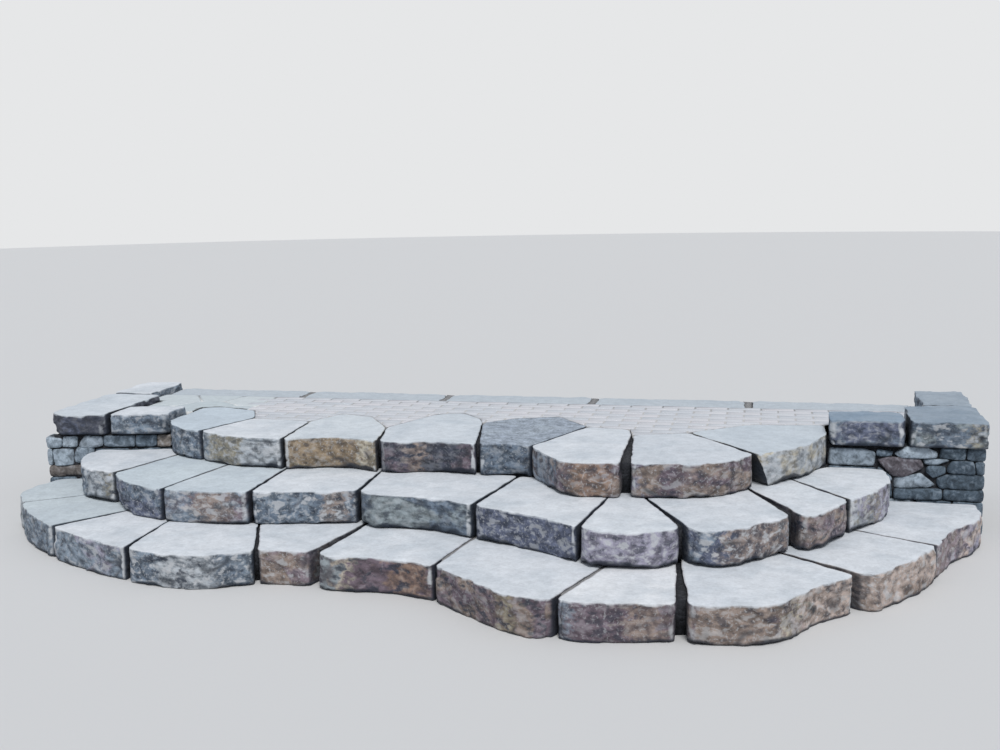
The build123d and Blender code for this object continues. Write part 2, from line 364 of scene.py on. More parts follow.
def filled(ring, smooth_ring, out, grain):
    """Points inside a closed line, two rows near it and a grid of triangles within, and the triangles. Where the
    line is so rough that it crosses itself, the triangles are those of its smooth original."""
    low = ring.min(axis=0)
    high = ring.max(axis=0)
    rows = np.arange(low[1], high[1], grain * math.sqrt(0.75))
    columns = np.arange(low[0], high[0], grain)
    grid = [(x + 0.5 * grain * (k % 2), y) for k, y in enumerate(rows) for x in columns]
    kept = []
    for points, clear in ((ring - 0.007 * out, 0.0055), (ring - 0.016 * out, 0.0135), (np.array(grid), 0.022)):
        points = points[inside_line(points, ring)]
        gap = np.linalg.norm(points[:, None] - ring[None], axis=2).min(axis=1)
        points = points[gap > min(clear, 0.8 * grain)]
        kept.append(points[np.unique(np.round(points / 0.0055).astype(int), axis=0, return_index=True)[1]])
    inner = np.concatenate(kept)
    count = len(ring)
    edges = [(i, (i + 1) % count) for i in range(count)]
    for line in (ring, smooth_ring):
        everything = [Vector(p) for p in np.concatenate([line, inner])]
        result = delaunay_2d_cdt(everything, edges, [], 1, 1e-7)
        if all(len(group) == 1 for group in result[3]):
            break
    source = [group[0] for group in result[3]]
    return inner, [[source[i] for i in face] for face in result[2]]


def broken_face(spots, seed):
    """How far a split face lies behind its outline, and where a layer has come off it: flat breaks at slight
    slopes, small chips, sharp crevices, missing layers and grain."""
    warp = np.column_stack([ripple(spots, 0.09, seed + k) for k in range(3)]) * 0.012
    bent = (spots + warp) * (1, 1, 1.35)
    plates = facets(bent, 0.150, seed)
    chips = facets(bent, 0.055, seed + 3)
    crevice = 1 - np.minimum(np.abs(ripple(bent, 0.19, seed + 4)) * 6, 1)
    crevice *= smooth(ripple(spots, 0.10, seed + 5), 0.05, 0.35)
    layer = smooth(ripple(bent, 0.30, seed + 6), 0.16, 0.19)
    swell = 0.5 + 0.5 * ripple(spots, 0.30, seed + 1)
    grain = 0.5 + 0.5 * rough(spots, 0.028, seed + 2, 2)
    depth = 0.003 * swell + 0.009 * plates + 0.0045 * chips + 0.004 * crevice + 0.006 * layer + 0.0016 * grain
    return depth, crevice, layer


def cleft_top(plan, seed):
    """How far a natural cleft top lies below its highest points: broad swells, thin layers that end in steps."""
    flat = np.column_stack([plan, np.zeros(len(plan))])
    layers = smooth(rough(flat, 0.34, seed + 9, 2), -0.22, -0.18) + smooth(ripple(flat, 0.22, seed + 8), 0.12, 0.16)
    return 0.0010 * (1 + ripple(flat, 0.30, seed + 10)) + 0.0009 * layers + 0.0004 * (1 + ripple(flat, 0.05, seed))


def block(line, low, high, seed, finish, rises=None):
    """One stone round a line, between two heights: its points, its faces, its numbers for the material, and
    the places of its top ring."""
    place, out, air = line
    count = len(place)
    if rises is None:
        rises = np.linspace(0, 1, max(4, round((high - low) / finish.grain)) + 1)
    rows = len(rises)
    edge = np.column_stack([place, np.full(count, seed * 3.1)])
    roughness = hidden_roughness + (1 - hidden_roughness) * air
    turn = np.linalg.norm(np.roll(out, -1, axis=0) - np.roll(out, 1, axis=0), axis=1)
    corner = np.clip((turn - 0.14) / 0.25, 0, 1) * smooth(air, 0.05, 0.5)
    bites = np.clip(ripple(edge, 0.10, 6) + 0.35 * ripple(edge, 0.04, 7) - 0.05, 0, 1)
    chips = (finish.worn + finish.chip * np.maximum(bites, 0.6 * corner)) * roughness
    lift = 0.001 + finish.undercut * np.clip(0.3 + ripple(edge, 0.19, 8) + 0.4 * ripple(edge, 0.06, 9), 0.05, 1) * air

    def settle(plan):
        """How far the top lies below its highest points, apart from its chipped edge."""
        flat = np.column_stack([plan, np.full(len(plan), seed * 0.7)])
        breaks = facets(flat, 0.13, seed + 2) + 0.5 * facets(flat, 0.055, seed + 5) if finish.breaks else 0
        return finish.cleft * cleft_top(plan, seed) + finish.breaks * breaks

    rim = high - chips - settle(place)
    heights = (low + lift) + np.asarray(rises)[:, None] * (rim - low - lift)
    spots = np.column_stack([np.tile(place, (rows, 1)), heights.ravel()])
    depth, crevice, layer = broken_face(spots, seed)
    above_foot = (heights - low) / 0.055
    below_top = (high - heights) / 0.038
    foot = np.clip(1 - above_foot, 0, 1) ** 2 * finish.undercut * (0.1 + 0.6 * np.clip(ripple(edge, 0.16, 3) + 0.2, 0, 1))
    brow = np.clip(1 - below_top, 0, 1) ** 1.6 * (0.1 + np.clip(ripple(edge, 0.10, 4) + 0.2, 0, 1))
    inward = (finish.relief * (depth.reshape(rows, count) + foot) + finish.brow * brow) * roughness
    inward -= hidden_swell * finish.relief * (1 - air)
    wall = np.tile(place, (rows, 1)) - np.tile(out, (rows, 1)) * inward.ravel()[:, None]
    ring = wall[-count:]

    middle = place.mean(axis=0)
    reach = np.linalg.norm(place - middle, axis=1).mean()
    under = middle + (wall[:count] - middle) * (1 - 2.2 * finish.undercut / reach)
    inner, triangles = filled(ring, place, out, finish.top_grain)
    gaps = np.linalg.norm(inner[:, None] - ring[None], axis=2)
    nearest = np.argmin(gaps, axis=1)
    edge_gap = gaps[np.arange(len(inner)), nearest]
    drop = chips[nearest] * np.clip(1 - edge_gap / finish.chip_width, 0, 1) ** 2
    tops = high - settle(inner) - drop

    points = np.concatenate(
        [
            np.column_stack([wall, heights.ravel()]),
            np.column_stack([under, np.full(count, low)]),
            np.column_stack([inner, tops]),
        ]
    )
    faces = []
    for row in range(rows - 1):
        for i in range(count):
            j = (i + 1) % count
            faces.append((row * count + i, row * count + j, row * count + count + j, row * count + count + i))
    first_under = rows * count
    for i in range(count):
        j = (i + 1) % count
        faces.append((first_under + i, first_under + j, j, i))
    faces.append(tuple(range(first_under + count - 1, first_under - 1, -1)))
    first_top = (rows - 1) * count
    skip = 2 * count
    faces += [tuple(first_top + i if i < count else first_top + i - count + skip for i in t) for t in triangles]

    rest = count + len(inner)
    # Pale chips along the top edge and at open corners: partly worn stone, partly painted highlight where the edges
    # catch the light.
    at_edge = np.clip(1 - (rim - heights) / 0.014, 0, 1) * np.clip(bites * 3, 0, 1)
    worn = ripple(spots, 0.06, seed + 12).reshape(rows, count) + 0.9 * ripple(edge, 0.45, 10)
    arris = np.maximum(at_edge * air, np.clip(1.3 * corner, 0, 1) * smooth(worn, -0.4, 0.2))
    # Painted shade and grime: the air number, low where a neighbour stands close, darkens the face in the material,
    # and so does a mask near the foot, partly grime and partly painted shade in the undercut.
    dirt_and_shade = smooth(heights - low - lift, 0.018, 0.004) * np.clip(0.8 + 1.4 * ripple(edge, 0.13, 5), 0, 1)
    open_air = air * (1 - 0.85 * dirt_and_shade)
    open_air[-1] = np.maximum(open_air[-1], 0.8)
    # The top's pale colour runs down the face in a band below the rim: partly weathering, partly painted highlight
    # along the edge.
    band = 0.003 + 0.011 * np.clip(ripple(edge, 0.08, 14) + 0.4 * ripple(edge, 0.03, 15) + 0.25, 0, 1)
    weathered_rim_and_highlight = 0.9 * smooth(rim - heights, band, 0.2 * band) * smooth(air, 0.1, 0.6)
    weathered_rim_and_highlight[-1] = np.maximum(weathered_rim_and_highlight[-1], 0.5)
    numbers = {
        "hollow": np.concatenate([crevice, np.zeros(rest)]),
        "layer": np.concatenate([layer, np.zeros(rest)]),
        "arris": np.concatenate([arris.ravel(), np.zeros(rest)]),
        "air": np.concatenate([open_air.ravel(), np.zeros(count), np.ones(len(inner))]),
        "top": np.concatenate([weathered_rim_and_highlight.ravel(), np.zeros(count), np.ones(len(inner))]),
    }
    return points, faces, numbers, (first_top, count)


def gathered(name, blocks, crisp=True):
    """One mesh from several blocks, with sharp edges along the rims of their tops where they are crisp."""
    mesh = bpy.data.meshes.new(name)
    points = np.concatenate([b[0] for b in blocks])
    low = np.array(cad_low) + (size_margin, size_margin, 0)
    high = np.array(cad_high) - size_margin
    points = np.clip(points, low, high)
    faces = []
    first = 0
    rim = np.zeros(len(points), dtype=int)
    for number, (own, own_faces, _, (start, count)) in enumerate(blocks):
        faces += [tuple(first + i for i in face) for face in own_faces]
        rim[first + start : first + start + count] = number + 1
        first += len(own)
    mesh.from_pydata(points.tolist(), [], faces)
    mesh.validate()
    for key in blocks[0][2]:
        keep_numbers(mesh, key, np.concatenate([b[2][key] for b in blocks]))
    if crisp:
        ends = np.empty(len(mesh.edges) * 2, dtype=int)
        mesh.edges.foreach_get("vertices", ends)
        ends = rim[ends.reshape(-1, 2)]
        sharp = mesh.attributes.new("sharp_edge", "BOOLEAN", "EDGE")
        sharp.data.foreach_set("value", (ends[:, 0] > 0) & (ends[:, 0] == ends[:, 1]))
    return mesh


def split_stone(node, seed, finish, breaks=()):
    """The mesh of a CAD node's slabs as split stones, each with its own breaks: planes that cut a corner off,
    given by a point and a way out."""
    low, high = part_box(node)
    level = high[2] - 0.02
    neighbours = all_but(node)
    blocks = []
    for number, loop in enumerate(plan_loops(node, 2)):
        line = walk(loop, finish.grain, neighbours, level)
        blocks.append(block(line, low[2], high[2], seed + 7 * number, finish))
    for point, way in breaks:
        way = np.array(way) / np.linalg.norm(way)
        points, _, numbers, _ = blocks[0]
        beyond = np.clip((points - np.array(point)) @ way, 0, None)
        points -= beyond[:, None] * way
        # The broken face is set dark, as painted shade.
        numbers["air"][beyond > 0.002] = 0.1
    return gathered(node + "_stone", blocks)


def joint_packing(first_node, first_loop, second_node, second_loop, setback, drop):
    """Stone dust packed in the joint between two slabs, a little below their tops and behind their faces, as a
    closed mesh: its points and faces."""
    lines = [walk(loop, 0.012).place for loop in (first_loop, second_loop)]
    gaps = np.linalg.norm(lines[0][:, None] - lines[1][None], axis=2)
    near = np.flatnonzero(gaps.min(axis=1) < packing_reach)
    near = np.roll(near, -1 - np.argmax(np.diff(near))) if np.diff(near).max() > 1 else near
    ends = lines[0][near[[0, -1]]]
    front = ends[np.argmax(np.linalg.norm(ends - landing_middle, axis=1))]
    near = near[np.linalg.norm(lines[0][near] - front, axis=1) > setback]
    others = np.argmin(gaps[near], axis=1)
    plan = []
    for line, picked, other in ((lines[0], near, lines[1][others]), (lines[1], others[::-1], lines[0][near[::-1]])):
        way = other - line[picked]
        way /= np.linalg.norm(way, axis=1)[:, None]
        plan += list(line[picked] - packing_overlap * way)
    low = max(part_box(first_node)[0][2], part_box(second_node)[0][2]) + 0.001
    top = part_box(first_node)[1][2]
    low = low if drop > full_drop else top - packing_drop - 0.002
    return prism(anticlockwise(np.array(plan)), low, top - drop)


def make_joints(name, pairs, material, setback=packing_setback, drop=packing_drop):
    """Packed stone dust in the joints between pairs of slabs, given by their nodes and outlines, as one piece."""
    points = []
    faces = []
    for pair in pairs:
        own, own_faces = joint_packing(*pair, setback, drop)
        faces += [tuple(len(points) + i for i in face) for face in own_faces]
        points += own
    piece(name, new_mesh(name, points, faces), material, "gravel_fill")


def make_all_joints(deep, dust):
    """The joints of the three courses, some of them filled up with dust, and of the caps on the back wall."""
    full = []
    for course in ("bottom", "middle", "top"):
        names = [node for node in step_faces if node.startswith(course)]
        loops = [plan_loops(node, 2)[0] for node in names]
        pairs = list(zip(names, loops, names[1:], loops[1:]))
        full += [pair for pair in pairs if pair[0] in full_joints]
        make_joints(course + "_joints", pairs, deep)
    make_joints("full_joints", full, dust, full_setback, full_drop)
    caps = sorted(plan_loops("back_caps", 2), key=lambda loop: loop[:, 0].min())
    pairs = [("back_caps", first, "back_caps", second) for first, second in zip(caps, caps[1:])]
    make_joints("back_cap_joints", pairs, dust, back_cap_setback, back_cap_drop)


# Dry-stack walls

WallStone = namedtuple("WallStone", "tone corners")


def wall_courses(length, levels, seed, start=0.0):
    """Stones for a wall's face in rough courses, in metres along and up. A course's height wanders, its joints
    lean, and now and then two thin stones stand in for one thick one."""
    dice = np.random.default_rng(seed)
    stones = []

    def bed(k, along):
        if k in (0, len(levels) - 1):
            return levels[k]
        return levels[k] + 0.010 * float(ripple(np.array([[along, levels[k], seed * 0.37]]), 0.21, k)[0])

    for k in range(len(levels) - 1):
        height = levels[k + 1] - levels[k]
        left, lean_left = start, 0.0
        while left < length - 0.01:
            right = left + height * dice.uniform(1.3, 4.4)
            if right > length - 1.0 * height:
                right = length
            lean_right = 0.0 if right == length else dice.uniform(-0.012, 0.012)
            thin = dice.random() < 0.16 and right - left > 1.6 * height
            cut = dice.uniform(0.40, 0.60)
            parts = [(0.0, cut), (cut, 1.0)] if thin else [(0.0, 1.0)]
            for foot, top in parts:
                corners = []
                for along, lean, share in (
                    (left, lean_left, foot),
                    (right, lean_right, foot),
                    (right, lean_right, top),
                    (left, lean_left, top),
                ):
                    up = bed(k, along) + share * (bed(k + 1, along) - bed(k, along))
                    corners.append((along + lean * (2 * share - 1), up))
                stones.append(WallStone(dice.random(), trimmed(np.array(corners), dice, (start, length))))
            left, lean_left = right, lean_right
    return stones


def trimmed(corners, dice, ends):
    """A wall stone's outline, drawn in by half a joint, with its corners knocked off by chance, less at the ends
    of the wall."""
    middle = corners.mean(axis=0)
    size = np.ptp(corners, axis=0)
    at_end = np.abs(corners[:, :1] - ends).min(axis=1) < 0.001
    corners = middle + (corners - middle) * (1 - rubble_gap / size)
    knocked = []
    for i, corner in enumerate(corners):
        share = dice.uniform(0.03, 0.22) * (0.3 if at_end[i] else 1.0)
        for other in (corners[i - 1], corners[(i + 1) % len(corners)]):
            reach = min(share * size.min() * 2, 0.45 * np.linalg.norm(other - corner))
            way = (other - corner) / np.linalg.norm(other - corner)
            knocked.append(corner + way * reach * dice.uniform(0.5, 1.0))
    return np.array(knocked)


def wall_face(stones, start, way, finish, seed, corner=None):
    """Wall stones on an upright face that starts at a point in plan and runs a certain way. The ends of the
    stones show too where the face has a corner, so far along."""
    way = np.array(way) / np.linalg.norm(way)
    outward = np.array([way[1], -way[0]])
    dice = np.random.default_rng(seed)
    blocks = []
    for number, stone in enumerate(stones):
        line = walk(np.array(stone.corners), finish.grain, rounding=0.006)
        line = line._replace(place=line.place + rubble_growth * line.out)
        proud = -0.001 - 0.010 * dice.random()
        points, faces, numbers, rim = block(
            line, -rubble_depth, proud, seed + number, finish, rises=[0.0, 0.55, 0.80, 0.92, 1.0]
        )
        along, up, depth = points.T
        plan = np.array(start) + along[:, None] * way + depth[:, None] * outward
        # Painted shade: the stones' sides darken as they run back into the wall, except at a corner where their ends
        # show.
        numbers["air"] = smooth(depth, -0.045, -0.024)
        if corner is not None:
            numbers["air"] = np.maximum(numbers["air"], smooth(np.abs(along - corner), 0.020, 0.008))
        numbers["tone"] = np.full(len(points), stone.tone)
        blocks.append((np.column_stack([plan, up]), faces, numbers, rim))
    return blocks


def measured(stones):
    """Wall stones, each from its tone and its corners in millimetres along the wall and up, anticlockwise."""
    return [WallStone(tone, np.array(corners) / 1000) for tone, *corners in stones]


# The right wall's face beside the courses, from its inner end. Tones run from dark blue-grey through pale
# grey at 0.6 to brown at 0.8 and above. This wall's tones are kept mostly below the pale grey, partly as
# painted shade, since it lies in shade.
right_front = [
    (0.54, (5, 338), (226, 334), (232, 404), (180, 420), (12, 422)),
    (0.38, (238, 390), (312, 388), (318, 412), (242, 420)),
    (0.58, (322, 402), (352, 383), (526, 385), (530, 412), (470, 438), (385, 438)),
    (0.20, (538, 384), (658, 380), (664, 438), (548, 438)),
    (0.30, (670, 380), (752, 374), (752, 438), (674, 438)),
    (0.80, (244, 368), (318, 287), (380, 284), (466, 338), (448, 376), (300, 384)),
    (0.50, (470, 352), (520, 350), (588, 374), (550, 380), (462, 378)),
    (0.40, (474, 318), (512, 282), (572, 308), (570, 340), (520, 346), (486, 342)),
    (0.15, (580, 312), (710, 308), (700, 372), (600, 372), (578, 340)),
    (0.25, (716, 306), (752, 304), (752, 366), (708, 368)),
    (0.56, (326, 228), (490, 232), (524, 246), (452, 304), (330, 276)),
    (0.22, (530, 252), (544, 230), (752, 228), (752, 298), (590, 304), (528, 282)),
    (0.30, (328, 170), (556, 174), (554, 224), (330, 220)),
    (0.18, (564, 172), (752, 168), (752, 222), (566, 222)),
    (0.35, (5, 265), (236, 262), (238, 322), (8, 326)),
    (0.50, (5, 178), (150, 176), (156, 256), (6, 258)),
    (0.30, (164, 178), (318, 176), (310, 254), (168, 252)),
    (0.45, (245, 268), (314, 262), (312, 278), (250, 330)),
    (0.20, (4, 90), (210, 88), (214, 170), (6, 168)),
    (0.55, (220, 92), (420, 86), (424, 162), (224, 168)),
    (0.30, (430, 88), (600, 90), (604, 164), (434, 166)),
    (0.40, (610, 90), (752, 86), (752, 162), (612, 164)),
    (0.30, (4, 2), (300, 2), (302, 80), (6, 82)),
    (0.60, (310, 2), (520, 2), (522, 80), (312, 78)),
    (0.25, (530, 2), (752, 2), (752, 78), (532, 80)),
]

# The left wall's face, from its outer end. Its tones are kept mostly near the pale grey, partly as painted
# light, since it lies in the light.
left_front = [
    (0.58, (4, 336), (86, 342), (90, 388), (4, 400)),
    (0.60, (94, 342), (176, 344), (180, 400), (96, 398)),
    (0.62, (184, 346), (240, 336), (322, 346), (320, 398), (226, 404)),
    (0.45, (328, 342), (372, 336), (508, 338), (510, 402), (330, 402)),
    (0.38, (516, 338), (628, 338), (632, 400), (518, 402)),
    (0.92, (638, 338), (716, 338), (716, 404), (640, 402)),
    (0.57, (34, 232), (148, 238), (150, 330), (36, 328)),
    (0.58, (4, 236), (26, 234), (28, 328), (4, 328)),
    (0.50, (156, 250), (264, 248), (270, 338), (176, 340), (160, 300)),
    (0.28, (276, 250), (470, 252), (468, 326), (330, 324), (278, 326)),
    (0.40, (480, 252), (716, 250), (716, 326), (482, 326)),
]


def plan_corner(node, x, y):
    """The corner of a wall's plan that lies nearest to the given side of its box: -1 or 1 for x and y."""
    low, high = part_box(node)
    aim = np.array([high[0] if x > 0 else low[0], high[1] if y > 0 else low[1]])
    corners = plan_loops(node, 1)[0]
    return corners[np.argmin(np.linalg.norm(corners - aim, axis=1))]


def core(node, insets):
    """Packed stone behind a wall's face: the wall's plan, drawn in at the sides that show."""
    low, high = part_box(node)
    corners = plan_loops(node, 1)[0]
    left, right, front, back = insets
    middle = corners.mean(axis=0)
    corners = corners + np.where(corners < middle, [left, front], [-right, -back])
    return new_mesh(node + "_core", *prism(corners, low[2], high[2] - core_drop))


def coursed_face(start, way, length, levels, seed, finish=rubble_finish, corner=None):
    """Stones in rough courses on a wall's face, which starts at a point in plan and runs a certain way."""
    return wall_face(wall_courses(length, levels, seed), start, way, finish, seed, corner)


def dress_wall(node, blocks, insets, stone_material, core_material):
    """Gives a wall its stones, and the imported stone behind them."""
    name = node + "_stones"
    piece(name, gathered(name, blocks, crisp=False), stone_material, "dry_stack_rubble", node)
    piece(node + "_core", core(node, insets), core_material, "dry_stack_rubble", node)


def make_walls(*materials):
    """Dry-stack stones on every side of the walls that shows, and packed stone behind them."""
    walls = ("left_wall", "left_side_wall", "right_wall", "right_side_wall", "back_wall")
    left, left_side, right, right_side, back = map(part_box, walls)
    left_levels, right_levels, back_levels = (
        [*beds, box[1][2] - cap_gap]
        for beds, box in ((left_beds, left), (right_beds, right), (back_beds, back))
    )
    back_y = back[1][1]

    outer = plan_corner("left_wall", -1, -1)
    way = plan_corner("left_wall", 1, -1) - outer
    length = float(np.linalg.norm(way)) - end_gap
    foot = wall_courses(length, [*left_beds[:3], left_front_foot], 31, start=end_gap)
    front = wall_face(foot + measured(left_front), outer, way, rubble_finish, 31, corner=0.0)
    split = left_side[0][1]
    length = split - (outer[1] + rubble_depth + rubble_gap)
    end = coursed_face((outer[0], split), (0, -1), length, left_levels, 33)
    dress_wall("left_wall", front + end, (core_depth, 0, core_depth, 0), *materials)

    side_back = left_side[1][1]
    side = coursed_face((outer[0], side_back), (0, -1), side_back - split, left_levels, 35, corner=0.0)
    width = left_side[1][0] - outer[0] - rubble_depth - rubble_gap
    end = coursed_face((left_side[1][0], back_y), (-1, 0), width, back_levels, 37, back_rubble_finish)
    dress_wall("left_side_wall", side + end, (core_depth, 0, 0, core_depth), *materials)

    start = plan_corner("right_wall", -1, -1)
    low, high = right
    front = wall_face(measured(right_front), start, (1, 0), rubble_finish, 51, corner=high[0] - start[0])
    behind = low[1] + rubble_depth + rubble_gap
    end = coursed_face((high[0], behind), (0, 1), high[1] - behind, right_levels, 53)
    dress_wall("right_wall", front + end, (0, core_depth, core_depth, 0), *materials)

    low, high = right_side
    length = high[1] - low[1]
    side = coursed_face((high[0], low[1]), (0, 1), length, right_levels, 55, corner=length)
    width = high[0] - low[0] - rubble_depth - rubble_gap
    end = coursed_face((low[0] + width, back_y), (-1, 0), width, back_levels, 57, back_rubble_finish)
    dress_wall("right_side_wall", side + end, (0, core_depth, 0, core_depth), *materials)

    low, high = back
    face = coursed_face((high[0], back_y), (-1, 0), high[0] - low[0], back_levels, 71, back_rubble_finish)
    dress_wall("back_wall", face, (0, 0, 0, core_depth), *materials)


# Landing


def paver_cells(low, high):
    """Middles of the small pavers that cover a box in plan, in running bond with rows along X, and a tone each."""
    dice = np.random.default_rng(91)
    pitch_x = paver_length + paver_joint
    pitch_y = paver_width + paver_joint
    cells = []
    for row in range(math.ceil((high[1] - low[1]) / pitch_y)):
        shift = 0.5 * (row % 2) * pitch_x
        for column in range(-1, math.ceil((high[0] - low[0]) / pitch_x) + 1):
            x = low[0] + column * pitch_x + shift
            y = low[1] + (row + 0.5) * pitch_y
            cells.append((x, y, dice.random()))
    return cells


def tumbled_pavers(cells, top):
    """Small pavers with chamfered and slightly worn edges, each set a little out of true, as one mesh."""
    dice = np.random.default_rng(92)
    points = []
    faces = []
    for x, y, _ in cells:
        turn = dice.normal(0, 0.006)
        shift = dice.normal(0, 0.0008, 2)
        sink = dice.uniform(0, 0.0010)
        tilt = dice.uniform(-0.008, 0.008, 2)
        half = np.array([paver_length, paver_width]) / 2 - dice.uniform(0, 0.0012, 2)
        rings = []
        for inset, drop in ((0.0, paver_depth), (0.0, paver_chamfer), (paver_chamfer, 0.0)):
            ring = []
            for way_x, way_y, first in ((1, -1, 1), (1, 1, 0), (-1, 1, 1), (-1, -1, 0)):
                sides = [(paver_corner, 0.0), (0.0, paver_corner)]
                for cut_x, cut_y in sides if first else sides[::-1]:
                    ring.append((way_x * (half[0] - inset - cut_x), way_y * (half[1] - inset - cut_y), -drop))
            rings.append(ring)
        first = len(points)
        for ring in rings:
            for px, py, pz in ring:
                lean = tilt[0] * px + tilt[1] * py - 0.0006
                points.append(
                    (
                        x + shift[0] + px * math.cos(turn) - py * math.sin(turn),
                        y + shift[1] + px * math.sin(turn) + py * math.cos(turn),
                        top - sink + min(pz + lean, 0.0),
                    )
                )
        sides = len(rings[0])
        for level in (0, sides):
            for i in range(sides):
                j = (i + 1) % sides
                faces.append(tuple(first + level + k for k in (i, j, j + sides, i + sides)))
        faces.append(tuple(first + i for i in range(sides - 1, -1, -1)))
        faces.append(tuple(first + 2 * sides + i for i in range(sides)))
    return new_mesh("small_pavers", points, faces)


def nearest_part(middle, others, box):
    """The part of a box in plan that lies nearer to one middle than to the others, less half a joint."""
    shape = [np.array(p) for p in box]
    for other in others:
        way = np.array(other) - np.array(middle)
        length = np.linalg.norm(way)
        way = way / length
        limit = length / 2 - flag_joint / 2
        reach = [(p - np.array(middle)) @ way - limit for p in shape]
        cut = []
        for i, p in enumerate(shape):
            ahead = (i + 1) % len(shape)
            if reach[i] <= 0:
                cut.append(p)
            if reach[i] * reach[ahead] < 0:
                cut.append(p + (shape[ahead] - p) * reach[i] / (reach[i] - reach[ahead]))
        shape = cut
    return np.array(shape)


def flagstones(low, high, top):
    """Irregular flagstones at the left of the landing, as one mesh."""
    box = [(low[0], low[1]), (flag_limit - flag_joint, low[1]), (flag_limit - flag_joint, high[1]), (low[0], high[1])]
    blocks = []
    for number, middle in enumerate(flag_middles):
        others = [m for m in flag_middles if m != middle]
        line = walk(nearest_part(middle, others, box), flag_finish.grain, rounding=0.012)
        stone = block(line, top - paver_depth, top, 120 + number, flag_finish, rises=[0.0, 0.7, 1.0])
        stone[2]["tone"] = np.full(len(stone[0]), (number * 0.618) % 1)
        blocks.append(stone)
    return gathered("flagstones", blocks, crisp=False)


def landing_solid(drop=0.0):
    """The landing's paving as a closed mesh, with its top lowered by a drop."""
    solid = joined_solid("landing_paving")
    high = max(v.co.z for v in solid.verts)
    for corner in solid.verts:
        if corner.co.z > high - 0.001:
            corner.co.z -= drop
    mesh = bpy.data.meshes.new("landing")
    solid.to_mesh(mesh)
    solid.free()
    return mesh


def nearest_tones(mesh, cells):
    """Gives each point the tone of the paver it belongs to, and an air number that darkens the paver's sides below
    its top as painted shade in the joints.
    """
    points = np.empty(len(mesh.vertices) * 3)
    mesh.vertices.foreach_get("co", points)
    points = points.reshape(-1, 3)
    cells = np.array(cells)
    tones = np.empty(len(points))
    for first in range(0, len(points), 2000):
        some = points[first : first + 2000]
        across = np.abs(some[:, None, 0] - cells[:, 0]) / paver_length
        up = np.abs(some[:, None, 1] - cells[:, 1]) / paver_width
        tones[first : first + 2000] = cells[np.argmin(np.maximum(across, up), axis=1), 2]
    keep_numbers(mesh, "tone", tones)
    top = points[:, 2].max()
    # Painted shade: the pavers' sides darken below the top, down in the joints.
    keep_numbers(mesh, "air", smooth(points[:, 2], top - 0.010, top - 0.003))


def make_landing(paver_material, flag_material, bed_material):
    """Small pavers and flagstones, cut to the landing's edges, on a bed that shows in their joints."""
    low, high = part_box("landing_paving")
    cells = paver_cells((flag_limit, low[1]), (high[0] + paver_length, high[1]))
    cells = [c for c in cells if c[0] - paver_length / 2 > flag_limit - 0.6 * paver_length]
    right_part = landing_solid()
    pavers = kept_inside(tumbled_pavers(cells, high[2]), right_part)
    nearest_tones(pavers, cells)
    piece("small_pavers", pavers, paver_material, "landing_pavers", "landing_paving")
    flags = kept_inside(flagstones(low, high, high[2]), landing_solid())
    piece("flagstones", flags, flag_material, "landing_pavers", "landing_paving")
    piece("paving_bed", landing_solid(sand_drop), bed_material, "landing_pavers", "landing_paving")


# Materials


def linear(code):
    """An sRGB hex colour as linear numbers."""
    channels = [int(code[k : k + 2], 16) / 255 for k in (1, 3, 5)]
    return (*[c / 12.92 if c <= 0.04045 else ((c + 0.055) / 1.055) ** 2.4 for c in channels], 1.0)


def add(tree, kind, inputs=None, out=0, **settings):
    """Adds a node with its settings and gives one of its outputs. An input is a value, or another node's
    output to link."""
    node = tree.nodes.new(kind)
    for key, value in settings.items():
        setattr(node, key, value)
    for socket, value in (inputs or {}).items():
        if isinstance(value, bpy.types.NodeSocket):
            tree.links.new(value, node.inputs[socket])
        else:
            node.inputs[socket].default_value = value
    return node.outputs[out]


def per_metre(millimetres):
    """The scale of a pattern that repeats every so many millimetres."""
    return 1000.0 / millimetres


def new_material(name):
    """An empty material, with its node tree and the place of each of its points."""
    material = bpy.data.materials.new(name)
    material.use_nodes = True
    return material, material.node_tree, add(material.node_tree, "ShaderNodeTexCoord", out="Object")


def surface(material, colour, layers, relief, roughness, specular=0.5):
    """Gives a material its colour, with others laid over it by their shares, and the feel of its surface."""
    tree = material.node_tree
    for share, tint, blend in layers:
        inputs = {0: share, 6: colour, 7: tint}
        colour = add(tree, "ShaderNodeMix", inputs, 2, data_type="RGBA", blend_type=blend)
    shader = tree.nodes["Principled BSDF"]
    tree.links.new(colour, shader.inputs["Base Color"])
    tree.links.new(relief, shader.inputs["Normal"])
    shader.inputs["Roughness"].default_value = roughness
    shader.inputs["Specular IOR Level"].default_value = specular
    return material


# What the numbers of a noise pattern stand for, in order
noise_numbers = ("Vector", "Scale", "Detail", "Roughness", "Distortion")


